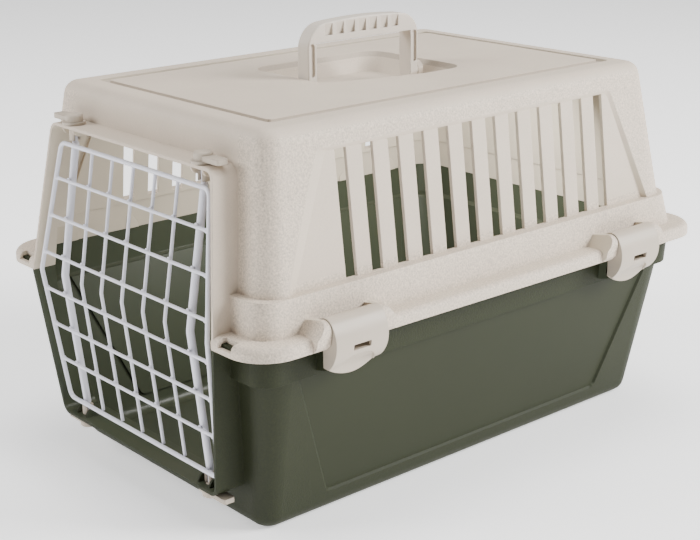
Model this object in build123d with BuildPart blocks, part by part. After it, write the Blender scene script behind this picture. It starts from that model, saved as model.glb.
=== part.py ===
from build123d import *
import math
import os

# Pet carrier: two moulded half shells held together by four latches, a bent wire door
# between four claw levers, and a handle that folds into the roof.
# +X is the right side seen from the door, -Y is the door end and +Z is up.
# The origin is on the floor, below the middle of the carrier. All sizes are millimetres.

# Levels above the floor
floor_thickness = 3.0
apron_bottom_z = 122.0
seam_z = 145.5
mating_z = 151.0
flange_top_z = 154.5
band_top_z = 178.5
roof_z = 284.5

# Plan sizes of the shells, as half widths and as distances of the two end walls
floor_half_width = 116.0
floor_front = 190.7
floor_rear = 201.5
tub_top_half_width = 146.0
tub_top_front = 206.8
tub_top_rear = 208.8
apron_foot_half_width = 148.2
apron_foot_front = 213.0
apron_foot_rear = 211.6
band_half_width = 149.2
band_front = 212.6
band_rear = 214.0
band_top_half_width = 145.6
band_top_front = 210.3
band_top_rear = 210.8
flange_half_width = 164.0
flange_half_length = 228.1
upper_foot_half_width = 142.5
upper_foot_front = 204.0
upper_foot_rear = 208.1
roof_half_width = 126.2
roof_front = 188.9
roof_rear = 188.3

# Walls and roundings
wall = 2.8
roof_thickness = 3.4
rim_thickness = 2.8
floor_front_corner = 14.0
floor_rear_corner = 14.0
tub_top_front_corner = 20.0
tub_top_rear_corner = 27.0
band_front_corner = 15.5
band_rear_corner = 19.5
band_top_rear_corner = 24.0
flange_front_corner = 29.0
flange_rear_corner = 32.0
flange_rounding = 5.0
upper_foot_front_corner = 17.0
upper_foot_rear_corner = 24.5
roof_front_corner = 13.5
roof_rear_corner = 14.5
roof_edge_fillet = 11.0
floor_edge_fillet = 11.7
rim_clearance = 0.6

# Notches in the flange on both sides of the door
flange_notch_x = 129.0
flange_notch_width = 14.0
flange_notch_depth = 7.0
flange_notch_foot_z = 149.0

# Door collar, a thin frame that stands out of both front walls and is kinked at the seam
collar_wall = 2.2
collar_top_z = 259.8
collar_bottom_z = 30.8
collar_top_half_width = 101.0
collar_seam_half_width = 117.1
collar_bottom_half_width = 100.2
collar_top_front = 212.0
collar_seam_front = 228.1
collar_bottom_front = 218.7
collar_corner = 8.0
collar_back = 181.0

# Slotted panel in each upper side wall
slot_count = 12
slot_width = 10.1
slot_pitch = 23.5
slot_row_middle = 1.1
panel_height = 90.0
panel_top_front = 149.8
panel_top_rear = 144.1
panel_foot_front = 186.0
panel_foot_rear = 179.6
panel_foot_depth = 4.0
panel_top_depth = 1.4
panel_thickness = 2.7
panel_front_step = 8.8
panel_step = 2.8
panel_corner = 6.0
slot_foot_margin = 0.3
slot_top_margin = 2.4

# Plain recessed panel in each lower side wall
tub_panel_depth = 1.6
tub_panel_step_angle = 48.0
tub_panel_foot_z = 16.0
tub_panel_foot_front = 137.9
tub_panel_foot_rear = 150.0
tub_panel_top_front = 181.9
tub_panel_top_rear = 178.0
tub_panel_corner = 6.0

# Groove round the roof
groove_half_width = 105.2
groove_front = 168.7
groove_rear = 171.3
groove_side_width = 7.8
groove_end_width = 5.8
groove_depth = 2.0
groove_corner = 5.0

# Handle and the well that it folds into
handle_middle_y = 0.8
handle_length = 111.4
handle_thickness = 13.0
handle_leg_width = 8.0
handle_pivot_z = 278.5
handle_top_z = 326.6
handle_crown = 3.7
handle_gap_top_z = 310.5
handle_front_shoulder = 19.5
handle_rear_shoulder = 18.0
handle_edge = 1.2
handle_play = 0.5
pivot_pin_radius = 3.0
pivot_pin_length = 3.4
pin_play = 0.3
well_floor_z = 269.5
well_far = 64.0
well_near = 45.0
well_near_front = 24.0
well_rear = 71.1
well_corner = 16.0
well_slope = 10.0
post_thickness = 5.2
leg_groove_width = 4.6
leg_groove_depth = 1.7
pocket_count = 7
pocket_middle_y = -1.6
pocket_pitch = 11.1
pocket_length = 7.2
pocket_foot_z = 315.5
pocket_head_z = 325.0
pocket_depth = 2.4

# Latches, two on each side
latch_width = 45.0
latch_front_y = -148.6
latch_rear_y = 136.2
latch_axis_inset = 2.5
latch_axis_z = 157.6
latch_radius = 8.2
latch_skin = 2.8
latch_opening_angle = 150.0
latch_bulge_angle = 38.0
latch_bulge_radius = 23.0
latch_shoulder_z = 129.0
latch_foot_z = 123.0
latch_web = 2.4
latch_web_inset = 2.4
latch_play = 0.5
latch_pin_radius = 2.0
latch_pin_length = 3.0
latch_window_width = 15.0
latch_window_height = 4.0
latch_window_z = 144.8
scoop_top_z = 140.0
scoop_half_width = 19.0
scoop_foot_z = 126.0
scoop_depth = 2.4
catch_gap = 0.6
catch_foot_z = 125.0
catch_rib_z = 134.0
catch_rib_height = 4.0
catch_rib_depth = 2.5

# Ears that carry the latch pins, with a rounded back, longer before each latch than behind it
ear_radius = 7.4
ear_front_top = 3.2
ear_front_foot = 11.4
ear_rear_top = 4.0
ear_rear_foot = 11.0
ear_back_angle = -15.0
ear_flare = 3.6

# Door wires
door_top_z = 245.0
door_bend_z = 147.5
door_bottom_z = 43.5
door_top_half_width = 93.0
door_bend_half_width = 107.0
door_bottom_half_width = 97.0
rod_x = 80.9
rod_radius = 2.8
rod_tip_radius = 2.0
rod_top_y = -204.4
rod_bend_y = -220.8
rod_bottom_y = -209.4
frame_wire_radius = 1.7
thin_wire_radius = 1.25
wire_touch = 0.05
upright_end_drop = 1.4
wire_bend_radius = 9.0
frame_corner_radius = 6.0
vertical_count = 5
horizontal_count = 6
first_horizontal_z = 218.5
horizontal_pitch = 28.5

# Claw levers
claw_radius = 4.2
claw_bottom_gap = 1.3
claw_bore_play = 0.3
claw_mouth = 4.6
lever_shaft_radius = 3.4
lever_play = 0.3
hub_radius = 8.5
hub_plate = 1.8
dome_radius = 6.5
dome_height = 5.6
arm_length = 22.0
arm_width = 9.0
arm_thickness = 3.6
guide_radius = 6.0
guide_thickness = 1.6
guide_spacing = 6.6
tip_end_gap = 0.6

os.makedirs("parts", exist_ok=True)


def between(z, z_low, low, z_high, high):
    # value at height z on the straight line through two levels
    return low + (high - low) * (z - z_low) / (z_high - z_low)


def save(part, name):
    part.label = name
    export_step(part, f"parts/{name}.step")


def plan_outline(half_width, front, rear, front_corner, rear_corner):
    # rounded rectangle of a shell seen from above; front and rear are distances
    with BuildSketch(mode=Mode.PRIVATE) as outline:
        with Locations((0, (rear - front) / 2)):
            Rectangle(2 * half_width, front + rear)
        fillet(outline.vertices().group_by(Axis.Y)[0], front_corner)
        fillet(outline.vertices().group_by(Axis.Y)[-1], rear_corner)
    add(outline.sketch)


def front_view(y):
    # sketch plane seen from the door, drawn in X and Z; it extrudes towards the door
    return Plane(origin=(0, y, 0), x_dir=(1, 0, 0), z_dir=(0, -1, 0))


def side_plane(z_low, half_low, z_high, half_high):
    # plane on the outer face of a leaning right-hand wall, drawn in Y and up the wall
    lean = Vector(half_high - half_low, 0, z_high - z_low).normalized()
    return Plane(origin=(half_low, 0, z_low), x_dir=(0, 1, 0), z_dir=(lean.Z, 0, -lean.X))


def collar_outline(inset):
    # six-sided door outline, kinked at the seam, with rounded top and bottom corners
    points = [
        (-collar_bottom_half_width, collar_bottom_z),
        (collar_bottom_half_width, collar_bottom_z),
        (collar_seam_half_width, seam_z),
        (collar_top_half_width, collar_top_z),
        (-collar_top_half_width, collar_top_z),
        (-collar_seam_half_width, seam_z),
    ]
    with BuildSketch(mode=Mode.PRIVATE) as outline:
        with BuildLine():
            Polyline(*points, close=True)
        make_face()
        fillet(outline.vertices().group_by(Axis.Y)[0], collar_corner)
        fillet(outline.vertices().group_by(Axis.Y)[-1], collar_corner)
        if inset > 0:
            offset(amount=-inset)
    add(outline.sketch)


def collar_front(z):
    # distance of the collar's front edge from the middle at height z
    if z > seam_z:
        return between(z, seam_z, collar_seam_front, collar_top_z, collar_top_front)
    return between(z, collar_bottom_z, collar_bottom_front, seam_z, collar_seam_front)


def upper_half_width(z):
    return between(z, band_top_z, upper_foot_half_width, roof_z, roof_half_width)


def upper_front(z):
    return between(z, band_top_z, upper_foot_front, roof_z, roof_front)


def upper_rear(z):
    return between(z, band_top_z, upper_foot_rear, roof_z, roof_rear)


def tub_outline(z, inset):
    # rounded rectangle of the tub at height z
    plan_outline(between(z, 0, floor_half_width, apron_bottom_z, tub_top_half_width) - inset,
                 between(z, 0, floor_front, apron_bottom_z, tub_top_front) - inset,
                 between(z, 0, floor_rear, apron_bottom_z, tub_top_rear) - inset,
                 between(z, 0, floor_front_corner, apron_bottom_z, tub_top_front_corner) - inset,
                 between(z, 0, floor_rear_corner, apron_bottom_z, tub_top_rear_corner) - inset)


def apron_outline(inset):
    # foot of the apron below the seam
    plan_outline(apron_foot_half_width - inset, apron_foot_front - inset, apron_foot_rear - inset,
                 band_front_corner - inset, band_rear_corner - inset)


def band_outline(inset):
    # head of the apron and foot of the band, at the mating level
    plan_outline(band_half_width - inset, band_front - inset, band_rear - inset,
                 band_front_corner - inset, band_rear_corner - inset)


def band_top_outline(inset):
    plan_outline(band_top_half_width - inset, band_top_front - inset, band_top_rear - inset,
                 band_front_corner - inset, band_top_rear_corner - inset)


def flange_outline(inset):
    plan_outline(flange_half_width - inset, flange_half_length - inset,
                 flange_half_length - inset, flange_front_corner - inset,
                 flange_rear_corner - inset)


def upper_outline(z, inset):
    # leaning upper walls at height z
    plan_outline(upper_half_width(z) - inset, upper_front(z) - inset, upper_rear(z) - inset,
                 between(z, band_top_z, upper_foot_front_corner, roof_z, roof_front_corner) - inset,
                 between(z, band_top_z, upper_foot_rear_corner, roof_z, roof_rear_corner) - inset)


latch_mids = {"front": latch_front_y, "rear": latch_rear_y}
latch_notch = latch_width + 2 * latch_play
latch_axis_x = flange_half_width - latch_axis_inset
bulge_angle = math.radians(latch_bulge_angle)
bulge_x = latch_axis_x + (latch_radius - latch_bulge_radius) * math.cos(bulge_angle)
bulge_z = latch_axis_z + (latch_radius - latch_bulge_radius) * math.sin(bulge_angle)


def cover_x(z, radius):
    # outer or inner face of the bulging cover at height z
    return bulge_x + math.sqrt(radius ** 2 - (z - bulge_z) ** 2)


latch_lip_x = cover_x(latch_shoulder_z, latch_bulge_radius)
catch_outer_x = latch_lip_x - latch_skin - catch_gap
notch_depth_x = latch_axis_x - latch_radius - latch_play
upper_side = side_plane(band_top_z, upper_foot_half_width, roof_z, roof_half_width)
panel_side = side_plane(band_top_z, upper_foot_half_width - panel_foot_depth,
                        band_top_z + panel_height,
                        upper_half_width(band_top_z + panel_height) - panel_top_depth)
tub_side = side_plane(0, floor_half_width, apron_bottom_z, tub_top_half_width)
lever_levels = {"top": (collar_top_z, rod_top_y, 1), "bottom": (collar_bottom_z, rod_bottom_y, -1)}

# Hollow of the cabin above the mating face, taken out of the upper shell
with BuildPart() as upper_hollow:
    ledge_underside_z = band_top_z - wall
    with BuildSketch(Plane.XY.offset(seam_z - 1)):
        band_outline(wall)
    with BuildSketch(Plane.XY.offset(ledge_underside_z)):
        band_top_outline(wall)
    loft(ruled=True)
    hollow_top_z = roof_z - roof_thickness
    with BuildSketch(Plane.XY.offset(ledge_underside_z)):
        upper_outline(ledge_underside_z, wall)
    with BuildSketch(Plane.XY.offset(hollow_top_z)):
        upper_outline(hollow_top_z, wall)
    loft(ruled=True)
    fillet(upper_hollow.edges().group_by(Axis.Z)[-1], roof_edge_fillet - wall)

# Hollow of the tub
with BuildPart() as tub_hollow:
    with BuildSketch(Plane.XY.offset(floor_thickness)):
        tub_outline(floor_thickness, wall)
    with BuildSketch(Plane.XY.offset(apron_bottom_z)):
        tub_outline(apron_bottom_z, wall)
    loft(ruled=True)
    fillet(tub_hollow.edges().group_by(Axis.Z)[0], floor_edge_fillet - wall)
    with BuildSketch(Plane.XY.offset(apron_bottom_z)):
        tub_outline(apron_bottom_z, wall)
    with BuildSketch(Plane.XY.offset(apron_bottom_z + wall)):
        apron_outline(wall)
    loft(ruled=True)
    with BuildSketch(Plane.XY.offset(apron_bottom_z + wall)):
        apron_outline(wall)
    with BuildSketch(Plane.XY.offset(mating_z + wall)):
        band_outline(wall)
    loft(ruled=True)

# Door collar as a solid block, one half above the seam and one below
with BuildPart() as collar_upper:
    with BuildSketch(front_view(-collar_back)):
        collar_outline(0)
    extrude(amount=flange_half_length)
    with BuildSketch(Plane.YZ.offset(-flange_half_width)):
        with BuildLine():
            Polyline((-collar_back, seam_z), (-collar_back, roof_z),
                     (-collar_front(roof_z), roof_z), (-collar_seam_front, seam_z), close=True)
        make_face()
    extrude(amount=2 * flange_half_width, mode=Mode.INTERSECT)

with BuildPart() as collar_lower:
    with BuildSketch(front_view(-collar_back)):
        collar_outline(0)
    extrude(amount=flange_half_length)
    with BuildSketch(Plane.YZ.offset(-flange_half_width)):
        with BuildLine():
            Polyline((-collar_back, 0), (-collar_back, seam_z), (-collar_seam_front, seam_z),
                     (-collar_front(0), 0), close=True)
        make_face()
    extrude(amount=2 * flange_half_width, mode=Mode.INTERSECT)

# Way through the collar into the cabin
with BuildPart() as doorway:
    with BuildSketch(front_view(-collar_back)):
        collar_outline(collar_wall)
    extrude(amount=flange_half_length)

# Slotted side panel: the dip in the outer face, the plate behind it and the slots
def panel_outline(front_step, step):
    # four-sided panel, drawn in by one step at the front and another at the top and rear
    with BuildSketch(mode=Mode.PRIVATE) as outline:
        with BuildLine():
            Polyline((front_step - panel_foot_front, 0),
                     (front_step - panel_top_front, panel_height - step),
                     (panel_top_rear - step, panel_height - step),
                     (panel_foot_rear - step, 0), close=True)
        make_face()
        fillet(outline.vertices().group_by(Axis.Y)[-1], panel_corner)
    add(outline.sketch)


with BuildPart() as panel_dip:
    with BuildSketch(panel_side):
        panel_outline(panel_front_step, panel_step)
    with BuildSketch(upper_side):
        panel_outline(0, 0)
    loft(ruled=True)
    with BuildSketch(upper_side):
        panel_outline(0, 0)
    extrude(amount=wall)

with BuildPart() as panel_plate:
    for plate_plane in (panel_side.offset(-panel_thickness), upper_side.offset(-wall / 2)):
        with BuildSketch(plate_plane):
            with BuildLine():
                Polyline((-panel_foot_front, -wall), (-panel_top_front, panel_height + wall),
                         (panel_top_rear, panel_height + wall), (panel_foot_rear, -wall),
                         close=True)
            make_face()
    loft(ruled=True)

with BuildPart() as panel_slots:
    slot_height = panel_height - slot_foot_margin - slot_top_margin
    with BuildSketch(panel_side.offset(-2 * panel_thickness)):
        with Locations((slot_row_middle, slot_foot_margin + slot_height / 2)):
            with GridLocations(slot_pitch, slot_height, slot_count, 1):
                Rectangle(slot_width, slot_height)
    extrude(amount=2 * panel_thickness + panel_foot_depth + wall)

# Plain side panel of the tub
tub_panel_height = (apron_bottom_z - tub_panel_foot_z) / tub_side.y_dir.Z
tub_panel_foot = tub_panel_foot_z / tub_side.y_dir.Z


def tub_panel_outline():
    with BuildSketch(mode=Mode.PRIVATE) as outline:
        with BuildLine():
            Polyline((-tub_panel_foot_front, tub_panel_foot),
                     (-tub_panel_top_front, tub_panel_foot + tub_panel_height),
                     (tub_panel_top_rear, tub_panel_foot + tub_panel_height),
                     (tub_panel_foot_rear, tub_panel_foot), close=True)
        make_face()
        fillet(outline.vertices().group_by(Axis.Y)[0], tub_panel_corner)
    add(outline.sketch)


with BuildPart() as tub_dip:
    with BuildSketch(tub_side):
        tub_panel_outline()
    extrude(amount=-tub_panel_depth, taper=tub_panel_step_angle)

with BuildPart() as tub_plate:
    with BuildSketch(tub_side.offset(-tub_panel_depth - wall)):
        tub_panel_outline()
    extrude(amount=wall)

# Handle well, wide at the roof and with leaning side and rear walls
handle_front = handle_middle_y - handle_length / 2
handle_rear = handle_middle_y + handle_length / 2
well_front = -handle_front + 2 * handle_play + pivot_pin_length / 4


def well_outline(slope, grow):
    near = well_near - slope + grow
    near_front = well_near_front - slope + grow
    far = well_far - slope + grow
    rear = well_rear - slope + grow
    front = well_front + grow
    with BuildSketch(mode=Mode.PRIVATE) as outline:
        with BuildLine():
            Polyline((-far, -front), (near_front, -front), (near, handle_rear / 2), (near, rear),
                     (-far, rear), close=True)
        make_face()
        fillet(outline.vertices(), well_corner)
    add(outline.sketch)


with BuildPart() as handle_well:
    with BuildSketch(Plane.XY.offset(well_floor_z)):
        well_outline(well_slope, 0)
    with BuildSketch(Plane.XY.offset(roof_z)):
        well_outline(0, 0)
    loft(ruled=True)

with BuildPart() as well_body:
    with BuildSketch(Plane.XY.offset(well_floor_z - wall)):
        well_outline(well_slope, wall)
    with BuildSketch(Plane.XY.offset(roof_z)):
        well_outline(0, wall)
    loft(ruled=True)



def ear_block(edge_y, out, top, foot):
    # right-hand ear that starts at edge_y and runs out along Y, sloping down to the flange
    ear_top_z = latch_axis_z + ear_radius
    with BuildPart() as ear:
        with BuildSketch(Plane.XZ.offset(-edge_y)):
            with BuildLine():
                back = CenterArc((latch_axis_x, latch_axis_z), ear_radius, 100,
                                 ear_back_angle - 100)
                Polyline(back @ 1, (flange_half_width + ear_flare, (seam_z + mating_z) / 2 + 1),
                         (flange_half_width, seam_z), (flange_half_width - wall, seam_z),
                         (flange_half_width - wall, mating_z),
                         (band_top_half_width - wall / 2, mating_z),
                         (band_top_half_width - wall / 2, ear_top_z - wall), back @ 0)
            make_face()
        extrude(amount=-out * foot)
        with BuildSketch(Plane.YZ.offset(band_top_half_width - wall)):
            with BuildLine():
                Polyline((edge_y, seam_z), (edge_y, ear_top_z), (edge_y + out * top, ear_top_z),
                         (edge_y + out * foot, flange_top_z), (edge_y + out * foot, seam_z),
                         close=True)
            make_face()
        extrude(amount=flange_half_width, mode=Mode.INTERSECT)
    return ear.part


# Upper shell
with BuildPart() as upper_shell:
    # lip and flange, an upside-down channel round the rim
    with BuildSketch(Plane.XY.offset(seam_z)):
        flange_outline(0)
    extrude(amount=flange_top_z - seam_z)
    fillet(upper_shell.edges().group_by(Axis.Z)[-1], flange_rounding)
    with BuildSketch(Plane.XY.offset(seam_z)):
        flange_outline(wall)
    extrude(amount=mating_z - seam_z, mode=Mode.SUBTRACT)
    # upright band
    with BuildSketch(Plane.XY.offset(mating_z)):
        band_outline(0)
    with BuildSketch(Plane.XY.offset(band_top_z)):
        band_top_outline(0)
    loft(ruled=True)
    # leaning walls and roof
    with BuildSketch(Plane.XY.offset(band_top_z)):
        upper_outline(band_top_z, 0)
    with BuildSketch(Plane.XY.offset(roof_z)):
        upper_outline(roof_z, 0)
    loft(ruled=True)
    fillet(upper_shell.edges().group_by(Axis.Z)[-1], roof_edge_fillet)
    add(collar_upper.part)
    add(upper_hollow.part, mode=Mode.SUBTRACT)
    # side panels
    for mirrored in (False, True):
        for tool, mode in ((panel_plate, Mode.ADD), (panel_dip, Mode.SUBTRACT),
                           (panel_slots, Mode.SUBTRACT)):
            if mirrored:
                mirror(tool.part, about=Plane.YZ, mode=mode)
            else:
                add(tool.part, mode=mode)
    add(doorway.part, mode=Mode.SUBTRACT)
    # groove round the roof
    with BuildSketch(Plane.XY.offset(roof_z)):
        with Locations((0, (groove_rear - groove_front) / 2)):
            groove_length = groove_front + groove_rear
            RectangleRounded(2 * groove_half_width, groove_length, groove_corner)
            RectangleRounded(2 * (groove_half_width - groove_side_width),
                             groove_length - 2 * groove_end_width, groove_corner / 2,
                             mode=Mode.SUBTRACT)
    extrude(amount=-groove_depth, mode=Mode.SUBTRACT)
    # handle well with its bearing post
    add(well_body.part)
    add(handle_well.part, mode=Mode.SUBTRACT)
    with BuildSketch(front_view(handle_rear + handle_play + post_thickness)):
        with Locations((0, handle_pivot_z)):
            Circle(handle_thickness / 2)
        with Locations((0, (handle_pivot_z + well_floor_z) / 2 - wall / 2)):
            Rectangle(handle_thickness, handle_pivot_z - well_floor_z + wall)
    extrude(amount=post_thickness)
    with Locations(Plane(origin=(0, handle_rear, handle_pivot_z), z_dir=(0, 1, 0))):
        Cylinder(pivot_pin_radius + pin_play, pivot_pin_length + handle_play,
                 align=(Align.CENTER, Align.CENTER, Align.MIN), mode=Mode.SUBTRACT)
    with Locations(Plane(origin=(0, handle_front, handle_pivot_z), z_dir=(0, -1, 0))):
        Cylinder(pivot_pin_radius + pin_play, pivot_pin_length + handle_play,
                 align=(Align.CENTER, Align.CENTER, Align.MIN), mode=Mode.SUBTRACT)
    # latch gaps in the flange and the ears beside them
    for side in (-1, 1):
        for mid in latch_mids.values():
            front = mid - latch_notch / 2
            rear = mid + latch_notch / 2
            notch_middle = (notch_depth_x + flange_half_width + wall) / 2
            with BuildSketch(Plane.XY.offset(seam_z - wall)):
                with Locations((side * notch_middle, mid)):
                    Rectangle(flange_half_width + wall - notch_depth_x, latch_notch)
            extrude(amount=band_top_z - seam_z, mode=Mode.SUBTRACT)
            for edge_y, out, top, foot in ((front, -1, ear_front_top, ear_front_foot),
                                           (rear, 1, ear_rear_top, ear_rear_foot)):
                ear = ear_block(edge_y, out, top, foot)
                add(ear if side > 0 else ear.mirror(Plane.YZ))
            with Locations(Plane(origin=(side * latch_axis_x, front - latch_pin_length
                                         - latch_play, latch_axis_z), z_dir=(0, 1, 0))):
                Cylinder(latch_pin_radius + pin_play,
                         latch_notch + 2 * latch_pin_length + 2 * latch_play,
                         align=(Align.CENTER, Align.CENTER, Align.MIN), mode=Mode.SUBTRACT)
    # lever holes in the top bar, with two half-round guides below each
    for side in (-1, 1):
        with Locations((side * rod_x, rod_top_y, collar_top_z)):
            Cylinder(lever_shaft_radius + lever_play, 4 * collar_wall, mode=Mode.SUBTRACT)
        for offset_x in (-guide_spacing, guide_spacing):
            plane_x = side * rod_x + offset_x - guide_thickness / 2
            with BuildSketch(Plane.YZ.offset(plane_x)):
                with Locations((rod_top_y, collar_top_z - collar_wall)):
                    Circle(guide_radius)
                with Locations((rod_top_y, collar_top_z - collar_wall / 2)):
                    Rectangle(4 * guide_radius, 2 * guide_radius, mode=Mode.SUBTRACT,
                              align=(Align.CENTER, Align.MIN))
            extrude(amount=guide_thickness)
    # shallow notches in the flange beside the door
    for side in (-1, 1):
        with Locations((side * flange_notch_x, -flange_half_length, flange_notch_foot_z)):
            Box(flange_notch_width, 2 * flange_notch_depth, flange_top_z,
                align=(Align.CENTER, Align.CENTER, Align.MIN), mode=Mode.SUBTRACT)

save(upper_shell.part, "upper_shell")

# Lower shell
with BuildPart() as lower_shell:
    with BuildSketch():
        tub_outline(0, 0)
    with BuildSketch(Plane.XY.offset(apron_bottom_z)):
        tub_outline(apron_bottom_z, 0)
    loft(ruled=True)
    fillet(lower_shell.edges().group_by(Axis.Z)[0], floor_edge_fillet)
    # upright apron below the seam and the rim that lies in the upper channel
    with BuildSketch(Plane.XY.offset(apron_bottom_z)):
        apron_outline(0)
    with BuildSketch(Plane.XY.offset(mating_z)):
        band_outline(0)
    loft(ruled=True)
    with BuildSketch(Plane.XY.offset(mating_z - rim_thickness)):
        flange_outline(wall + rim_clearance)
    extrude(amount=rim_thickness)
    # collar half, and room above the seam for the upper collar half
    with BuildSketch(Plane.XY.offset(seam_z)):
        with Locations((0, -flange_half_length)):
            Rectangle(2 * (collar_seam_half_width + rim_clearance),
                      2 * (flange_half_length - band_front + 2 * wall))
    extrude(amount=mating_z, mode=Mode.SUBTRACT)
    add(collar_lower.part)
    add(tub_hollow.part, mode=Mode.SUBTRACT)
    for mirrored in (False, True):
        for tool, mode in ((tub_dip, Mode.SUBTRACT), (tub_plate, Mode.ADD)):
            if mirrored:
                mirror(tool.part, about=Plane.YZ, mode=mode)
            else:
                add(tool.part, mode=mode)
    add(doorway.part, mode=Mode.SUBTRACT)
    # catch blocks below the latches, and gaps in the rim above them
    for side in (-1, 1):
        for mid in latch_mids.values():
            block_width = latch_width - 2 * (latch_web + latch_play)
            notch_middle = (notch_depth_x + flange_half_width + wall) / 2
            with BuildSketch(Plane.XY.offset(seam_z)):
                with Locations((side * notch_middle, mid)):
                    Rectangle(flange_half_width + wall - notch_depth_x, latch_notch)
            extrude(amount=mating_z, mode=Mode.SUBTRACT)
            with BuildSketch(front_view(mid + block_width / 2)):
                with BuildLine():
                    block_root_x = apron_foot_half_width - wall / 2
                    Polyline((side * block_root_x, catch_foot_z),
                             (side * catch_outer_x, catch_foot_z + wall),
                             (side * catch_outer_x, seam_z),
                             (side * block_root_x, seam_z), close=True)
                make_face()
                with Locations((side * catch_outer_x, catch_rib_z)):
                    Rectangle(2 * (catch_rib_depth + latch_play),
                              catch_rib_height + 2 * catch_gap, mode=Mode.SUBTRACT)
            extrude(amount=block_width)
    # lever holes in the bottom bar, with two half-round guides above each
    for side in (-1, 1):
        with Locations((side * rod_x, rod_bottom_y, collar_bottom_z)):
            Cylinder(lever_shaft_radius + lever_play, 4 * collar_wall, mode=Mode.SUBTRACT)
        for offset_x in (-guide_spacing, guide_spacing):
            plane_x = side * rod_x + offset_x - guide_thickness / 2
            with BuildSketch(Plane.YZ.offset(plane_x)):
                with Locations((rod_bottom_y, collar_bottom_z + collar_wall)):
                    Circle(guide_radius)
                with Locations((rod_bottom_y, collar_bottom_z + collar_wall / 2)):
                    Rectangle(4 * guide_radius, 2 * guide_radius, mode=Mode.SUBTRACT,
                              align=(Align.CENTER, Align.MAX))
            extrude(amount=guide_thickness)

save(lower_shell.part, "lower_shell")

# Carrying handle, with round feet, grooved legs and a ribbed grip
with BuildPart() as carry_handle:
    leg_in = handle_length / 2 - handle_leg_width
    with BuildSketch(Plane.YZ.offset(-handle_thickness / 2)) as handle_profile:
        shoulder_z = handle_top_z - handle_crown
        with BuildLine():
            ThreePointArc((handle_front, shoulder_z), (handle_middle_y, handle_top_z),
                          (handle_rear, shoulder_z))
            Polyline((handle_rear, shoulder_z), (handle_rear, handle_pivot_z),
                     (handle_front, handle_pivot_z), (handle_front, shoulder_z))
        make_face()
        for shoulder_y, shoulder in ((handle_front, handle_front_shoulder),
                                     (handle_rear, handle_rear_shoulder)):
            corners = handle_profile.vertices()
            fillet(corners.sort_by_distance((shoulder_y, shoulder_z, 0))[0], shoulder)
        with Locations((handle_middle_y, (handle_gap_top_z + handle_pivot_z) / 2)):
            Rectangle(2 * leg_in, handle_gap_top_z - handle_pivot_z, mode=Mode.SUBTRACT)
    extrude(amount=handle_thickness)
    grip_edges = carry_handle.edges().filter_by(GeomType.LINE, reverse=True)
    fillet(grip_edges.filter_by_position(Axis.Z, handle_gap_top_z, handle_top_z), handle_edge)
    # grooves down both faces of the legs, and tapered pockets in both faces of the grip
    for face_x in (-1, 1):
        with BuildSketch(Plane.YZ.offset(face_x * handle_thickness / 2)):
            for leg_y in (-1, 1):
                groove_foot = roof_z + handle_edge
                groove_length = handle_gap_top_z - groove_foot
                with Locations((handle_middle_y + leg_y * (handle_length - handle_leg_width) / 2,
                                groove_foot + groove_length / 2)):
                    SlotOverall(groove_length, leg_groove_width, rotation=90)
        extrude(amount=-face_x * leg_groove_depth, mode=Mode.SUBTRACT)
        for index in range(pocket_count):
            pocket_y = pocket_middle_y + (index - (pocket_count - 1) / 2) * pocket_pitch
            with BuildSketch(front_view(pocket_y + pocket_length / 2)):
                with BuildLine():
                    pocket_face = face_x * handle_thickness / 2
                    Polyline((pocket_face, pocket_head_z), (pocket_face, pocket_foot_z),
                             (pocket_face - face_x * pocket_depth, pocket_foot_z), close=True)
                make_face()
            extrude(amount=pocket_length, mode=Mode.SUBTRACT)
    for foot_y, out in ((handle_front, -1), (handle_rear, 1)):
        foot_inner = foot_y - out * handle_leg_width
        with Locations(Plane(origin=(0, foot_inner, handle_pivot_z), z_dir=(0, out, 0))):
            Cylinder(handle_thickness / 2, handle_leg_width,
                     align=(Align.CENTER, Align.CENTER, Align.MIN))
            Cylinder(pivot_pin_radius, handle_leg_width + pivot_pin_length,
                     align=(Align.CENTER, Align.CENTER, Align.MIN))

save(carry_handle.part, "carry_handle")

# Latches: a bulging cover that hangs from two pins and snaps over the catch block
cover_outer = latch_bulge_radius
cover_inner = latch_bulge_radius - latch_skin


def bulge_arc(radius, foot_z):
    # arc of the cover from its join with the cap down to foot_z
    foot_angle = math.degrees(math.asin((foot_z - bulge_z) / radius))
    return CenterArc((bulge_x, bulge_z), radius, latch_bulge_angle,
                     foot_angle - latch_bulge_angle)


def cap_arc(radius):
    return CenterArc((latch_axis_x, latch_axis_z), radius, latch_opening_angle,
                     latch_bulge_angle - latch_opening_angle)


def cover_section():
    # curved skin, seen along the pins, with an upright lip at its foot
    with BuildSketch(mode=Mode.PRIVATE) as section:
        with BuildLine():
            outside = cap_arc(latch_radius)
            inside = cap_arc(latch_radius - latch_skin)
            Line(outside @ 0, inside @ 0)
            outer_run = bulge_arc(cover_outer, latch_shoulder_z)
            lip_back_x = latch_lip_x - latch_skin
            lip_back_z = bulge_z - math.sqrt(cover_inner ** 2 - (lip_back_x - bulge_x) ** 2)
            inner_run = bulge_arc(cover_inner, lip_back_z)
            Polyline(outer_run @ 1, (latch_lip_x, latch_foot_z), (lip_back_x, latch_foot_z),
                     inner_run @ 1)
        make_face()
    add(section.sketch)


def filled_section(back_x, low_z, high_z):
    # everything between the outer face of the bulge and an upright line
    with BuildSketch(mode=Mode.PRIVATE) as section:
        with BuildLine():
            outer_run = bulge_arc(cover_outer, latch_shoulder_z)
            Polyline(outer_run @ 1, (latch_lip_x, latch_foot_z), (back_x, latch_foot_z),
                     (back_x, (outer_run @ 0).Y), outer_run @ 0)
        make_face()
        with Locations((latch_axis_x, (low_z + high_z) / 2)):
            Rectangle(4 * latch_bulge_radius, high_z - low_z, mode=Mode.INTERSECT)
    add(section.sketch)


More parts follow.
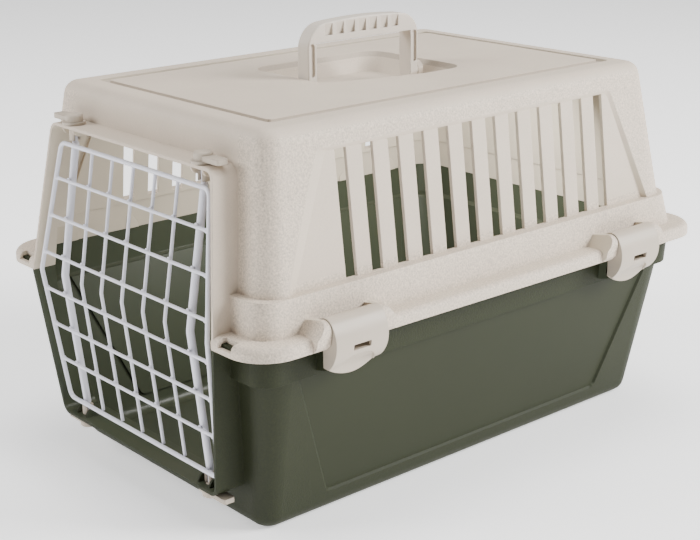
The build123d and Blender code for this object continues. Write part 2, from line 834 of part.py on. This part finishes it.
with BuildPart() as latch_scoop:
    # hollow for the thumb: a concave run cut to a low arch seen from the side
    scoop_low_z = latch_foot_z - 1
    with BuildSketch(front_view(scoop_half_width)):
        with BuildLine():
            scoop_run = Spline((cover_x(scoop_top_z, cover_outer) + 0.1, scoop_top_z + 0.2),
                               (cover_x(latch_shoulder_z + 4, cover_outer) - scoop_depth,
                                latch_shoulder_z + 4),
                               (latch_lip_x - scoop_depth / 2, latch_shoulder_z - 1.5),
                               (latch_lip_x - scoop_depth / 3, scoop_low_z))
            Polyline(scoop_run @ 1, (latch_lip_x + 6 * scoop_depth, scoop_low_z),
                     (latch_lip_x + 6 * scoop_depth, scoop_top_z + 0.2), scoop_run @ 0)
        make_face()
    extrude(amount=2 * scoop_half_width)
    with BuildSketch(Plane.YZ.offset(latch_axis_x - latch_radius)):
        with BuildLine():
            ThreePointArc((-scoop_half_width, scoop_foot_z), (0, scoop_top_z),
                          (scoop_half_width, scoop_foot_z))
            Polyline((scoop_half_width, scoop_foot_z), (scoop_half_width, scoop_low_z),
                     (-scoop_half_width, scoop_low_z), (-scoop_half_width, scoop_foot_z))
        make_face()
    extrude(amount=4 * latch_radius, mode=Mode.INTERSECT)

for side_name, side in (("left", -1), ("right", 1)):
    for end_name, mid in latch_mids.items():
        with BuildPart() as latch:
            with BuildSketch(front_view(mid + latch_width / 2)):
                cover_section()
            extrude(amount=latch_width)
            # thicker lip behind the thumb scoop
            with BuildSketch(front_view(mid + scoop_half_width)):
                filled_section(latch_lip_x - latch_skin, latch_foot_z,
                               scoop_top_z + latch_skin / 2)
            extrude(amount=2 * scoop_half_width)
            # end webs
            for out in (-1, 1):
                web_start = mid + out * (latch_width / 2 - latch_web)
                with BuildSketch(front_view(web_start)):
                    filled_section(latch_axis_x - latch_web_inset, latch_foot_z, latch_axis_z)
                    with Locations((latch_axis_x, latch_axis_z)):
                        Circle(latch_radius)
                extrude(amount=-out * latch_web)
            # rounded foot, from corner to corner
            with BuildSketch(Plane.YZ.offset(latch_axis_x - 2 * latch_radius)):
                with BuildLine():
                    head_z = latch_axis_z + latch_radius
                    ThreePointArc((mid - latch_width / 2, latch_shoulder_z + 2),
                                  (mid, latch_foot_z),
                                  (mid + latch_width / 2, latch_shoulder_z + 2))
                    Polyline((mid + latch_width / 2, latch_shoulder_z + 2),
                             (mid + latch_width / 2, head_z), (mid - latch_width / 2, head_z),
                             (mid - latch_width / 2, latch_shoulder_z + 2))
                make_face()
            extrude(amount=4 * latch_radius, mode=Mode.INTERSECT)
            # thumb scoop and the small window above it
            add(latch_scoop.part.moved(Location((0, mid, 0))), mode=Mode.SUBTRACT)
            with Locations((cover_x(latch_window_z, cover_outer), mid, latch_window_z)):
                Box(4 * latch_skin, latch_window_width, latch_window_height, mode=Mode.SUBTRACT)
            # rib that snaps into the catch block
            rib_length = latch_width - 4 * (latch_web + latch_play)
            rib_reach = cover_x(catch_rib_z, cover_inner) - catch_outer_x + catch_rib_depth
            with Locations((catch_outer_x - catch_rib_depth, mid, catch_rib_z)):
                Box(rib_reach, rib_length, catch_rib_height,
                    align=(Align.MIN, Align.CENTER, Align.CENTER))
            # pins
            for out in (-1, 1):
                web_start = mid + out * (latch_width / 2 - latch_web)
                with Locations(Plane(origin=(latch_axis_x, web_start, latch_axis_z),
                                     z_dir=(0, out, 0))):
                    Cylinder(latch_pin_radius, latch_web + latch_play + latch_pin_length,
                             align=(Align.CENTER, Align.CENTER, Align.MIN))
            if side < 0:
                mirror(latch.part, about=Plane.YZ, mode=Mode.REPLACE)
        save(latch.part, f"latch_{end_name}_{side_name}")


def door_y(z):
    # middle of the hinge rods at height z
    if z > door_bend_z:
        return between(z, door_bend_z, rod_bend_y, door_top_z, rod_top_y)
    return between(z, door_bottom_z, rod_bottom_y, door_bend_z, rod_bend_y)


def sweep_wire(points, bend, radius):
    # round wire along straight runs joined by arcs
    with BuildLine(mode=Mode.PRIVATE) as route:
        FilletPolyline(*points, radius=bend)
    line = route.line
    with BuildSketch(Plane(origin=line @ 0, z_dir=line % 0)) as section:
        Circle(radius)
    sweep(section.sketch, path=line)


# depth of each wire layer in front of the rods, with room for the lean of the door
door_lean = math.atan((rod_top_y - rod_bend_y) / (door_top_z - door_bend_z))
frame_wire_y = -(rod_radius + frame_wire_radius + wire_touch) / math.cos(door_lean)
horizontal_y = frame_wire_y
vertical_y = horizontal_y + 2 * thin_wire_radius + wire_touch

# Door frame wire: one closed loop, kinked at the bend, made as two mirrored halves
with BuildPart() as door_frame_wire:
    levels = (
        (door_top_half_width, door_top_z),
        (door_bend_half_width, door_bend_z),
        (door_bottom_half_width, door_bottom_z),
    )
    corners = [(x, door_y(z) + frame_wire_y, z) for x, z in levels]
    middle_top = (0, corners[0][1], door_top_z)
    middle_bottom = (0, corners[-1][1], door_bottom_z)
    sweep_wire([middle_top, *corners, middle_bottom], frame_corner_radius, frame_wire_radius)
    mirror(about=Plane.YZ)
save(door_frame_wire.part, "door_frame_wire")

# Hinge rods with thinner tips that turn in the claws
for side_name, side in (("left", -1), ("right", 1)):
    with BuildPart() as hinge_rod:
        x = side * rod_x
        top = (x, rod_top_y, door_top_z)
        bottom = (x, rod_bottom_y, door_bottom_z)
        sweep_wire([top, (x, rod_bend_y, door_bend_z), bottom], wire_bend_radius, rod_radius)
        for (px, py, pz), up, bar_z in ((top, 1, collar_top_z), (bottom, -1, collar_bottom_z)):
            tip = abs(bar_z - pz) - collar_wall - tip_end_gap
            with Locations(Plane(origin=(px, py, pz), z_dir=(0, 0, up))):
                Sphere(rod_radius)
                Cylinder(rod_tip_radius, tip, align=(Align.CENTER, Align.CENTER, Align.MIN))
    save(hinge_rod.part, f"hinge_rod_{side_name}")

# Thin upright wires, evenly spaced between the rods, butted to the loop above and below
for index in range(vertical_count):
    with BuildPart() as upright_wire:
        x = -rod_x + 2 * rod_x * (index + 1) / (vertical_count + 1)
        points = [(x, door_y(z) + vertical_y, z)
                  for z in (door_top_z - upright_end_drop, door_bend_z,
                            door_bottom_z + upright_end_drop)]
        sweep_wire(points, wire_bend_radius, thin_wire_radius)
    save(upright_wire.part, f"door_wire_vertical_{index + 1}")

# Thin cross wires in front of the uprights, butted to the loop at both sides
side_slope = (door_bend_half_width - door_top_half_width) / (door_top_z - door_bend_z)
side_cosine = math.cos(math.atan(side_slope))
for index in range(horizontal_count):
    with BuildPart() as cross_wire:
        z = first_horizontal_z - horizontal_pitch * index
        if z > door_bend_z:
            half = between(z, door_bend_z, door_bend_half_width, door_top_z, door_top_half_width)
        else:
            half = between(z, door_bottom_z, door_bottom_half_width, door_bend_z,
                           door_bend_half_width)
        reach = half - (frame_wire_radius + thin_wire_radius * side_slope) / side_cosine - wire_touch
        with Locations(Plane(origin=(-reach, door_y(z) + horizontal_y, z), z_dir=(1, 0, 0))):
            Cylinder(thin_wire_radius, 2 * reach, align=(Align.CENTER, Align.CENTER, Align.MIN))
    save(cross_wire.part, f"door_wire_horizontal_{index + 1}")

# Claw levers: an open claw inside the collar, a shaft through it and a knob with an arm
for level_name, (bar_z, axis_y, up) in lever_levels.items():
    for side_name, side in (("left", -1), ("right", 1)):
        with BuildPart() as lever:
            base = Plane(origin=(side * rod_x, axis_y, bar_z), x_dir=(side, 0, 0),
                         z_dir=(0, 0, up))
            # claw hanging into the collar
            claw_top = -collar_wall - lever_play
            claw_length = abs(bar_z - (door_top_z if up > 0 else door_bottom_z))
            claw_length -= frame_wire_radius + claw_bottom_gap + collar_wall + lever_play
            with BuildSketch(base.offset(claw_top)):
                Circle(claw_radius)
            extrude(amount=-claw_length)
            with BuildSketch(base.offset(-collar_wall - tip_end_gap / 2)):
                Circle(rod_tip_radius + claw_bore_play)
            extrude(amount=-2 * claw_length, mode=Mode.SUBTRACT)
            # mouth of the claw
            mouth_dir = (0, -1, 0) if side > 0 else (1, 0, 0)
            with Locations(Plane(origin=(side * rod_x, axis_y, bar_z - up * (collar_wall
                                         + tip_end_gap / 2)), x_dir=mouth_dir,
                                 z_dir=(0, 0, -up))):
                Box(2 * claw_radius, claw_mouth, 2 * claw_length,
                    align=(Align.MIN, Align.CENTER, Align.MIN), mode=Mode.SUBTRACT)
            # shaft through the bar
            with BuildSketch(base.offset(claw_top)):
                Circle(lever_shaft_radius)
            extrude(amount=collar_wall + 2 * lever_play)
            with BuildSketch(base.offset(lever_play)):
                Circle(hub_radius)
            extrude(amount=hub_plate)
            # flat arm pointing away from the door
            with BuildSketch(base.offset(lever_play + hub_plate)):
                with Locations((arm_length / 2, 0)):
                    RectangleRounded(arm_length, arm_width, arm_thickness / 2)
            extrude(amount=arm_thickness)
            with BuildSketch(base.offset(lever_play + hub_plate)):
                Circle(dome_radius)
            extrude(amount=dome_height)
            dome_rim = lever.edges().filter_by(GeomType.CIRCLE)
            fillet(dome_rim.sort_by(Axis.Z)[-1 if up > 0 else 0], dome_height - arm_thickness - 0.2)
        save(lever.part, f"lever_{level_name}_{side_name}")
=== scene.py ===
import math

import bmesh
import bpy
from mathutils import Matrix, Vector


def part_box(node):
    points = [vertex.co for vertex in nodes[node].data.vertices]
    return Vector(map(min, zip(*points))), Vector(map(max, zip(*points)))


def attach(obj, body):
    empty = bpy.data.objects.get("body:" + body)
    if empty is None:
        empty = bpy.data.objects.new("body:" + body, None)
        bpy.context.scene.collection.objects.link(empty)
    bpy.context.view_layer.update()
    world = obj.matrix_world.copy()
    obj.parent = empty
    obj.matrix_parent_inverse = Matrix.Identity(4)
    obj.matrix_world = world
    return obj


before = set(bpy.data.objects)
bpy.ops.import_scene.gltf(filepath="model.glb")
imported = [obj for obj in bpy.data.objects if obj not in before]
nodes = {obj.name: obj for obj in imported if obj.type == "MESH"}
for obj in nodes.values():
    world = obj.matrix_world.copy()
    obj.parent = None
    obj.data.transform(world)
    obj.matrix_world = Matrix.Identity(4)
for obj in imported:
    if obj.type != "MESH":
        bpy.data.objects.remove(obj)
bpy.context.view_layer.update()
carrierCentre = (0.0, 0.0, 0.15)
noiseMiddle = 0.5  # the value that noise varies about
print("packed carrier loaded,", len(nodes), "pieces")


# A socket that can be used in sums, products and comparisons. Each of them adds a Math node.
class Value:
    def __init__(self, graph, socket):
        self.graph = graph
        self.socket = socket

    def maths(self, operation, first, second=None):
        values = {0: first} if second is None else {0: first, 1: second}
        return self.graph.node("ShaderNodeMath", {"operation": operation}, values)

    def __add__(self, other):
        return self.maths("ADD", self, other)

    def __radd__(self, other):
        return self.maths("ADD", other, self)

    def __sub__(self, other):
        return self.maths("SUBTRACT", self, other)

    def __rsub__(self, other):
        return self.maths("SUBTRACT", other, self)

    def __mul__(self, other):
        return self.maths("MULTIPLY", self, other)

    def __rmul__(self, other):
        return self.maths("MULTIPLY", other, self)

    def __neg__(self):
        return self.maths("MULTIPLY", self, -1.0)

    def __abs__(self):
        return self.maths("ABSOLUTE", self)

    def __gt__(self, other):
        return self.maths("GREATER_THAN", self, other)

    def __lt__(self, other):
        return self.maths("LESS_THAN", self, other)


# The node tree of one material
class Graph:
    def __init__(self, name):
        self.material = bpy.data.materials.new(name)
        self.material.use_nodes = True
        self.tree = self.material.node_tree
        self.tree.nodes.clear()

    def node(self, kind, settings, values, output=0):
        made = self.tree.nodes.new(kind)
        for key, setting in settings.items():
            setattr(made, key, setting)
        for key, value in values.items():
            if isinstance(value, Value):
                self.tree.links.new(value.socket, made.inputs[key])
            else:
                made.inputs[key].default_value = value
        return Value(self, made.outputs[output]) if made.outputs else None


def colour(red, green, blue):
    # sRGB numbers from 0 to 255, as linear light
    def linear(number):
        part = number / 255
        return part / 12.92 if part <= 0.04045 else ((part + 0.055) / 1.055) ** 2.4
    return (linear(red), linear(green), linear(blue), 1.0)


def mixColours(graph, factor, first, second):
    # sockets 6 and 7 take the two colours and output 2 gives the mixed one
    return graph.node("ShaderNodeMix", {"data_type": "RGBA"}, {0: factor, 6: first, 7: second}, 2)


def place(graph):
    # position on the carrier in metres
    return graph.node("ShaderNodeTexCoord", {}, {}, "Object")


def dot(graph, first, second):
    return graph.node("ShaderNodeVectorMath", {"operation": "DOT_PRODUCT"}, {0: first, 1: second},
                      "Value")


def noise(graph, where, scale, detail, roughness):
    return graph.node("ShaderNodeTexNoise", {}, {"Vector": where, "Scale": scale,
                                                 "Detail": detail, "Roughness": roughness})


def between(graph, value, low, high):
    # 0 below low, 1 above high and smooth in between
    return graph.node("ShaderNodeMapRange", {"interpolation_type": "SMOOTHSTEP", "clamp": True},
                      {"Value": value, "From Min": low, "From Max": high})


def softEdge(graph, finish):
    # normal that is rounded along the edges
    return graph.node("ShaderNodeBevel", {"samples": finish["edgeSamples"]},
                      {"Radius": finish["edgeRadius"]})


def finishSurface(graph, baseColour, roughness, shine, normal=None, coat=0.0, glow=0.0):
    values = {"Base Color": baseColour, "Roughness": roughness, "Coat Weight": coat,
              "Specular IOR Level": shine}
    if glow:
        values.update({"Emission Color": (1.0, 1.0, 1.0, 1.0), "Emission Strength": glow})
    if normal is not None:
        values["Normal"] = normal
    surface = graph.node("ShaderNodeBsdfPrincipled", {}, values)
    graph.node("ShaderNodeOutputMaterial", {}, {"Surface": surface})
    return graph.material


def piecesNamed(*starts):
    return sorted(name for name in nodes if name.startswith(starts))


def dress(material, *names):
    for name in names:
        piece = nodes[name]
        piece.data.materials.clear()
        piece.data.materials.append(material)


# Moulded shells: fine leather grain outside, smooth and glossier on the inner faces, which also
# get a lighter colour as painted light
shellFinish = {
    "upperColour": (202, 188, 171),
    # the inner colours are painted light: lighter copies of the outer ones for the lit room
    # inside
    "upperInner": (205, 194, 175),
    "upperShine": 0.35,
    "lowerColour": (37, 41, 22),
    "lowerInner": (67, 72, 57),
    "lowerShine": 0.22,
    "baseShade": 0.97,
    "innerRange": (0.004, 0.012),
    "roughOutside": 0.58,
    "roughInside": 0.34,
    "grain": (750, 3.0, 0.6),  # scale, detail and roughness of the noise
    "grainHeight": 0.0004,
    "grainStrength": 0.6,
    "grainShade": 1.3,
    "grainGloss": 0.3,
    "smoothing": 0.85,  # share of the grain that the smooth areas lose
    "mottle": (22, 3.0, 0.55),
    "mottleRange": (0.3, 0.7),
    "mottleShade": 0.05,
    "edgeRadius": 0.0007,
    "edgeSamples": 4,
    "edgeRange": (0.01, 0.2),
    "edgeShade": 0.14,
    # how much darker the painted shade makes the floor of the roof groove
    "grooveShade": 0.24,
}

# Smooth areas of the shells and the roof groove that gets painted shade, in metres
shellAreas = {
    "slottedPanel": {"front": -0.1485, "rear": 0.1425, "slope": 0.44, "inner": 0.12,
                     "low": 0.184, "high": 0.268},
    "tubPanel": {"front": -0.147, "rear": 0.143, "slope": 0.26, "inner": 0.112,
                 "low": 0.02, "high": 0.12},
    "frontWall": {"rear": -0.18, "halfWidth": 0.142, "slope": 0.154},
    "well": {"halfWidth": 0.06, "halfLength": 0.09, "low": 0.24},
    "roof": {"low": 0.279},
    "roofGroove": {"halfWidth": 0.1065, "halfLength": 0.173, "low": 0.2805, "high": 0.2842},
}


def innerFace(graph, where):
    # 1 on faces that look towards the middle of the room
    normal = graph.node("ShaderNodeTexCoord", {}, {}, "Normal")
    away = graph.node("ShaderNodeVectorMath", {"operation": "SUBTRACT"},
                      {0: where, 1: carrierCentre})
    return between(graph, -dot(graph, normal, away), *shellFinish["innerRange"])


def sharpness(graph, edge):
    # 1 along outer edges, where the softened normal leaves the true one
    normal = graph.node("ShaderNodeNewGeometry", {}, {}, "True Normal")
    return between(graph, 1 - dot(graph, normal, edge), *shellFinish["edgeRange"])


def sidePanel(panel, lean, x, y, z):
    # 1 on a side panel that reaches past its front and rear lines by lean at height z
    return ((y > panel["front"] - lean) * (y < panel["rear"] + lean) * (abs(x) > panel["inner"])
            * (z > panel["low"]) * (z < panel["high"]))


def upperSmooth(graph, x, y, z):
    # 1 on the slotted panels, the front wall with its collar, in the well and on the roof
    panel = shellAreas["slottedPanel"]
    front = shellAreas["frontWall"]
    well = shellAreas["well"]
    onPanel = sidePanel(panel, (panel["high"] - z) * panel["slope"], x, y, z)
    onFront = (y < front["rear"]) * (abs(x) < front["halfWidth"] - z * front["slope"])
    inWell = (abs(x) < well["halfWidth"]) * (abs(y) < well["halfLength"]) * (z > well["low"])
    onRoof = z > shellAreas["roof"]["low"]
    return between(graph, onPanel + onFront + inWell + onRoof, 0.0, 1.0)


def lowerSmooth(graph, x, y, z):
    panel = shellAreas["tubPanel"]
    return between(graph, sidePanel(panel, z * panel["slope"], x, y, z), 0.0, 1.0)


def roofGroove(x, y, z):
    # 1 on the floor of the groove round the roof, where painted shade darkens the colour
    groove = shellAreas["roofGroove"]
    return ((z > groove["low"]) * (z < groove["high"]) * (abs(x) < groove["halfWidth"])
            * (abs(y) < groove["halfLength"]))


def shellMaterial(name, part, smooth, paintedShade=None):
    finish = shellFinish
    graph = Graph(name)
    where = place(graph)
    x, y, z = (graph.node("ShaderNodeSeparateXYZ", {}, {0: where}, axis) for axis in range(3))
    grain = noise(graph, where, *finish["grain"])
    mottle = noise(graph, where, *finish["mottle"])
    edge = softEdge(graph, finish)
    inside = innerFace(graph, where)
    grained = (1 - inside) * (1 - smooth(graph, x, y, z) * finish["smoothing"])
    rough = finish["roughOutside"] + (grain - noiseMiddle) * finish["grainGloss"] * grained
    rough = rough - inside * (finish["roughOutside"] - finish["roughInside"])
    cloud = between(graph, mottle, *finish["mottleRange"]) * finish["mottleShade"]
    cloud = cloud + (grain - noiseMiddle) * grained * finish["grainShade"]
    shade = finish["baseShade"] + cloud + sharpness(graph, edge) * finish["edgeShade"]
    # painted shade: the floor of the roof groove is darkened in the colour
    if paintedShade is not None:
        shade = shade - paintedShade(x, y, z) * finish["grooveShade"]
    # painted light: faces that look into the room take the lighter inner colour
    skin = mixColours(graph, inside, colour(*finish[part + "Colour"]),
                      colour(*finish[part + "Inner"]))
    shaded = graph.node("ShaderNodeVectorMath", {"operation": "SCALE"}, {0: skin, "Scale": shade})
    bump = graph.node("ShaderNodeBump", {},
                      {"Strength": finish["grainStrength"], "Distance": finish["grainHeight"],
                       "Height": grain * grained, "Normal": edge})
    return finishSurface(graph, shaded, rough, finish[part + "Shine"], bump)


dress(shellMaterial("upperShellPlastic", "upper", upperSmooth, roofGroove), "upper_shell")
dress(shellMaterial("lowerShellPlastic", "lower", lowerSmooth), "lower_shell")
print("shells finished")

# Satin fittings: the handle is a little paler than the latches and levers
fittingFinish = {
    "handleColour": (211, 201, 188),
    "latchColour": (186, 174, 158),
    "darkShare": 0.94,
    "cloud": (60, 3.0, 0.6),
    "cloudGloss": 0.15,
    "rough": 0.42,
    "shine": 0.35,
    "edgeRadius": 0.0008,
    "edgeSamples": 4,
}


def cloudyTones(graph, finish, tint):
    # clouds of noise, and a colour that is a little darker between them
    cloud = noise(graph, place(graph), *finish["cloud"])
    pale = colour(*tint)
    dark = tuple(part * finish["darkShare"] for part in pale[:3]) + (1.0,)
    return cloud, mixColours(graph, cloud, dark, pale)


def fittingMaterial(name, tint):
    graph = Graph(name)
    cloud, tones = cloudyTones(graph, fittingFinish, tint)
    rough = fittingFinish["rough"] + (cloud - noiseMiddle) * fittingFinish["cloudGloss"]
    return finishSurface(graph, tones, rough, fittingFinish["shine"],
                         softEdge(graph, fittingFinish))


dress(fittingMaterial("latchPlastic", fittingFinish["latchColour"]),
      *piecesNamed("latch", "lever"))
dress(fittingMaterial("handlePlastic", fittingFinish["handleColour"]), "carry_handle")
print("fittings finished")

# Coated wire of the door
wireFinish = {
    "colour": (226, 226, 236),
    "darkShare": 0.93,
    "cloud": (150, 2.0, 0.5),
    "cloudGloss": 0.1,
    "bumpStrength": 0.3,
    "bumpHeight": 0.0002,
    "rough": 0.3,
    "shine": 0.35,
    "coat": 0.3,
}


def wireMaterial():
    graph = Graph("coatedWire")
    cloud, tones = cloudyTones(graph, wireFinish, wireFinish["colour"])
    rough = wireFinish["rough"] + (cloud - noiseMiddle) * wireFinish["cloudGloss"]
    bump = graph.node("ShaderNodeBump", {},
                      {"Strength": wireFinish["bumpStrength"],
                       "Distance": wireFinish["bumpHeight"], "Height": cloud})
    return finishSurface(graph, tones, rough, wireFinish["shine"], bump, wireFinish["coat"])


wireLook = wireMaterial()
dress(wireLook, *piecesNamed("door", "hinge"))
print("door wires finished")

# Spot welds where the door's wires cross
doorWelds = {
    "radius": 0.0023,
    "squash": 0.55,  # thin from front to back
    "endShare": 0.85,  # round beads at the ends of the level wires
    "around": 10,
    "up": 6,
}


def addBead(mesh, centre, radius, squash):
    shape = Matrix.Diagonal((1, squash, 1, 1))
    bmesh.ops.create_uvsphere(mesh, u_segments=doorWelds["around"], v_segments=doorWelds["up"],
                              radius=radius, matrix=Matrix.Translation(centre) @ shape)


def middle(name):
    low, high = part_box(name)
    return [(low[axis] + high[axis]) / 2 for axis in range(3)]


def keepPiece(name, mesh, body, material):
    data = bpy.data.meshes.new(name)
    mesh.to_mesh(data)
    mesh.free()
    for face in data.polygons:
        face.use_smooth = True
    data.materials.append(material)
    piece = bpy.data.objects.new(name, data)
    bpy.context.scene.collection.objects.link(piece)
    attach(piece, body)


def buildWelds():
    mesh = bmesh.new()
    uprights = piecesNamed("door_wire_vertical") + piecesNamed("hinge_rod")
    crossings = [middle(name)[0] for name in uprights]
    for name in piecesNamed("door_wire_horizontal"):
        wireY, wireZ = middle(name)[1:]
        low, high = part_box(name)
        halfWire = (high[2] - low[2]) / 2
        for across in crossings:
            addBead(mesh, (across, wireY + halfWire, wireZ), doorWelds["radius"],
                    doorWelds["squash"])
        for end in (low[0], high[0]):
            addBead(mesh, (end, wireY, wireZ), doorWelds["radius"] * doorWelds["endShare"], 1.0)
    keepPiece("doorWelds", mesh, "door", wireLook)


buildWelds()
print("door welds added")

# Camera at the photograph's viewing angle
photoCamera = {
    "azimuth": 49.3367,
    "elevation": 17.9295,
    "roll": -0.5756,
    "place": (0.840209, -0.732584, 0.483357),
    "lens": 75.0,
    "sensorWidth": 36,
    "clipEnd": 50,
}


def buildCamera():
    azimuth, elevation, roll = (math.radians(photoCamera[angle])
                                for angle in ("azimuth", "elevation", "roll"))
    back = Vector((math.sin(azimuth) * math.cos(elevation),
                   -math.cos(azimuth) * math.cos(elevation), math.sin(elevation)))
    right = (-back).cross(Vector((0, 0, 1))).normalized()
    up = right.cross(-back)
    right, up = (right * math.cos(roll) + up * math.sin(roll),
                 up * math.cos(roll) - right * math.sin(roll))
    camera = bpy.data.objects.new("photoCamera", bpy.data.cameras.new("photoCamera"))
    camera.data.lens = photoCamera["lens"]
    camera.data.sensor_width = photoCamera["sensorWidth"]
    camera.data.clip_end = photoCamera["clipEnd"]
    turn = Matrix((right, up, back)).transposed().to_4x4()
    camera.matrix_world = Matrix.Translation(photoCamera["place"]) @ turn
    bpy.context.scene.collection.objects.link(camera)
    bpy.context.scene.camera = camera


buildCamera()

# Pale floor, a pale sky and soft studio light, with two small lamps inside the room
studio = {
    "floorColour": (255, 255, 255),
    "floorSize": 60.0,
    "floorRough": 0.8,
    "floorShine": 0.35,
    "floorGlow": 0.6,
    "skyColour": (255, 255, 255),
    "skyStrength": 0.25,
    "lights": {
        "keyLight": {"place": (2.0, 1.7, 1.5), "aim": carrierCentre, "size": 1.3, "power": 168},
        "frontLight": {"place": (-1.5, -2.3, 1.7), "aim": carrierCentre, "size": 1.4,
                       "power": 82},
        "topLight": {"place": (-0.2, 0.3, 3.0), "aim": carrierCentre, "size": 1.8, "power": 58},
        "roomLightFront": {"place": (0.08, -0.07, 0.235), "aim": (-0.12, -0.03, 0.1),
                           "size": 0.1, "power": 0.07},
        "roomLightRear": {"place": (0.08, 0.08, 0.235), "aim": (-0.12, 0.08, 0.1), "size": 0.1,
                          "power": 1.0},
    },
}


def buildFloor():
    half = studio["floorSize"] / 2
    corners = [(-half, -half, 0), (half, -half, 0), (half, half, 0), (-half, half, 0)]
    mesh = bpy.data.meshes.new("studioFloor")
    mesh.from_pydata(corners, [], [(0, 1, 2, 3)])
    floor = bpy.data.objects.new("studioFloor", mesh)
    bpy.context.scene.collection.objects.link(floor)
    mesh.materials.append(finishSurface(Graph("paleFloor"), colour(*studio["floorColour"]),
                                        studio["floorRough"], studio["floorShine"],
                                        glow=studio["floorGlow"]))


def buildSky():
    world = bpy.data.worlds.new("studioSky")
    world.use_nodes = True
    background = world.node_tree.nodes["Background"]
    background.inputs["Color"].default_value = colour(*studio["skyColour"])
    background.inputs["Strength"].default_value = studio["skyStrength"]
    bpy.context.scene.world = world


def buildLights():
    for name, facts in studio["lights"].items():
        light = bpy.data.lights.new(name, "AREA")
        light.size = facts["size"]
        light.energy = facts["power"]
        lamp = bpy.data.objects.new(name, light)
        lamp.location = facts["place"]
        lamp.visible_camera = False
        aim = Vector(facts["aim"]) - Vector(facts["place"])
        lamp.rotation_euler = aim.to_track_quat("-Z", "Y").to_euler()
        bpy.context.scene.collection.objects.link(lamp)


buildFloor()
buildSky()
buildLights()
print("camera and studio ready")
